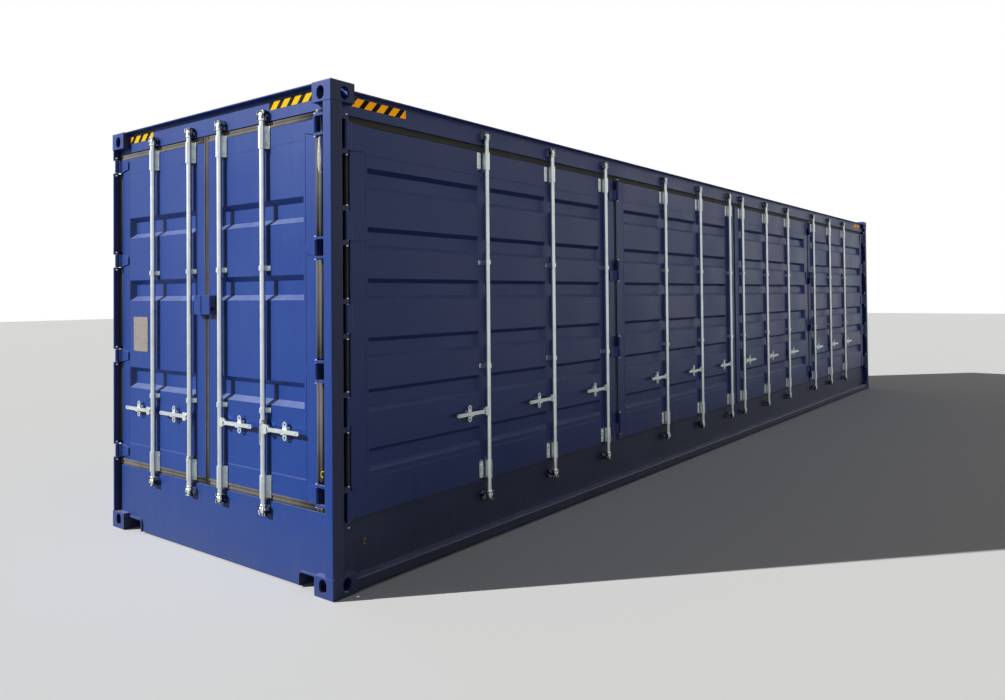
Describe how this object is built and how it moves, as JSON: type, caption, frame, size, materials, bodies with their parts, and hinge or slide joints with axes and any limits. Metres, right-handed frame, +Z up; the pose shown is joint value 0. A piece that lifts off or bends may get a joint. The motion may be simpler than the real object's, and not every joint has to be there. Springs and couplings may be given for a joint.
{
  "type": "shipping container",
  "caption": "Forty foot high cube freight container with double doors on one end and folding doors along one side, hollow, with slotted corner castings.",
  "frame": {"origin": "on the ground below the middle of the container", "axes": "+X along the container from the end doors to the blind end, -Y towards the side doors, +Z up"},
  "size_m": [12.192, 2.438, 2.896],
  "materials": {
    "blue_paint": "semi-gloss blue paint, weathered and dusty",
    "cord_fibre": "white twisted cord",
    "floor_wood": "sealed plywood",
    "galvanised": "hot-dip galvanised, matt grey",
    "plate_metal": "bare dull plate",
    "seal_rubber": "aged rubber, dull",
    "underside_paint": "dark wax coating"
  },
  "bodies": {
    "container": {"blind_end_rails": "blue_paint", "blind_end_wall": "blue_paint", "bottom_rail_closed_side": "blue_paint", "bottom_rail_side_doors": "blue_paint", "closed_side_wall": "blue_paint", "corner_castings_bottom": "blue_paint", "corner_castings_top": "blue_paint", "corner_posts_blind_end": "blue_paint", "corner_posts_door_end": "blue_paint", "cross_members": "underside_paint", "door_header": "blue_paint", "door_sill": "blue_paint", "floor_boards": "floor_wood", "hinge_lugs": "blue_paint", "hinge_pins": "galvanised", "lock_keepers": "blue_paint", "right_hinge_cord": "cord_fibre", "right_hinge_hank": "cord_fibre", "right_hinge_knot": "cord_fibre", "roof_panel": "blue_paint", "side_door_frames": "blue_paint", "side_door_panels": "blue_paint", "side_door_seals": "seal_rubber", "side_hinge_blades": "blue_paint", "side_lock_rods": "galvanised", "side_rod_guides": "galvanised", "side_rod_handles": "galvanised", "top_rail_closed_side": "blue_paint", "top_rail_side_doors": "blue_paint"},
    "left_door": {"left_door_frame": "blue_paint", "left_door_panel": "blue_paint", "left_door_seal": "seal_rubber", "left_door_guides": "galvanised", "left_lock_box": "blue_paint", "data_plate": "plate_metal", "left_sleeve_cord": "cord_fibre"},
    "left_rod_outer": {"left_rod_outer": "galvanised"},
    "left_handle_outer": {"left_handle_outer": "galvanised"},
    "left_rod_inner": {"left_rod_inner": "galvanised"},
    "left_handle_inner": {"left_handle_inner": "galvanised"},
    "right_door": {"right_door_frame": "blue_paint", "right_door_panel": "blue_paint", "right_door_seal": "seal_rubber", "right_door_guides": "galvanised", "right_lock_box": "blue_paint"},
    "right_rod_outer": {"right_rod_outer": "galvanised", "right_handle_cord": "galvanised"},
    "right_handle_outer": {"right_handle_outer": "galvanised"},
    "right_rod_inner": {"right_rod_inner": "galvanised"},
    "right_handle_inner": {"right_handle_inner": "galvanised"}
  },
  "joints": [
    {"name": "left_door_swing", "type": "hinge", "parent": "container", "child": "left_door", "pos_m": [-6.076, 1.188, 1.448], "axis": [0, 0, 1], "range_deg": [-250, 0]},
    {"name": "right_door_swing", "type": "hinge", "parent": "container", "child": "right_door", "pos_m": [-6.076, -1.062, 1.448], "axis": [0, 0, -1], "range_deg": [-160, 0]},
    {"name": "left_rod_outer_turn", "type": "hinge", "parent": "left_door", "child": "left_rod_outer", "pos_m": [-6.074, 0.687, 1.448], "axis": [0, 0, 1], "range_deg": [0, 100]},
    {"name": "left_handle_outer_lift", "type": "hinge", "parent": "left_rod_outer", "child": "left_handle_outer", "pos_m": [-6.084, 0.729, 0.89], "axis": [1, 0, 0], "range_deg": [0, 20]},
    {"name": "left_rod_inner_turn", "type": "hinge", "parent": "left_door", "child": "left_rod_inner", "pos_m": [-6.074, 0.228, 1.448], "axis": [0, 0, 1], "range_deg": [0, 100]},
    {"name": "left_handle_inner_lift", "type": "hinge", "parent": "left_rod_inner", "child": "left_handle_inner", "pos_m": [-6.084, 0.27, 0.89], "axis": [1, 0, 0], "range_deg": [0, 20]},
    {"name": "right_rod_inner_turn", "type": "hinge", "parent": "right_door", "child": "right_rod_inner", "pos_m": [-6.074, -0.12, 1.448], "axis": [0, 0, -1], "range_deg": [0, 100]},
    {"name": "right_handle_inner_lift", "type": "hinge", "parent": "right_rod_inner", "child": "right_handle_inner", "pos_m": [-6.084, -0.162, 0.89], "axis": [-1, 0, 0], "range_deg": [0, 20]},
    {"name": "right_rod_outer_turn", "type": "hinge", "parent": "right_door", "child": "right_rod_outer", "pos_m": [-6.074, -0.567, 1.448], "axis": [0, 0, -1], "range_deg": [0, 100]},
    {"name": "right_handle_outer_lift", "type": "hinge", "parent": "right_rod_outer", "child": "right_handle_outer", "pos_m": [-6.084, -0.609, 0.89], "axis": [-1, 0, 0], "range_deg": [0, 20]}
  ]
}
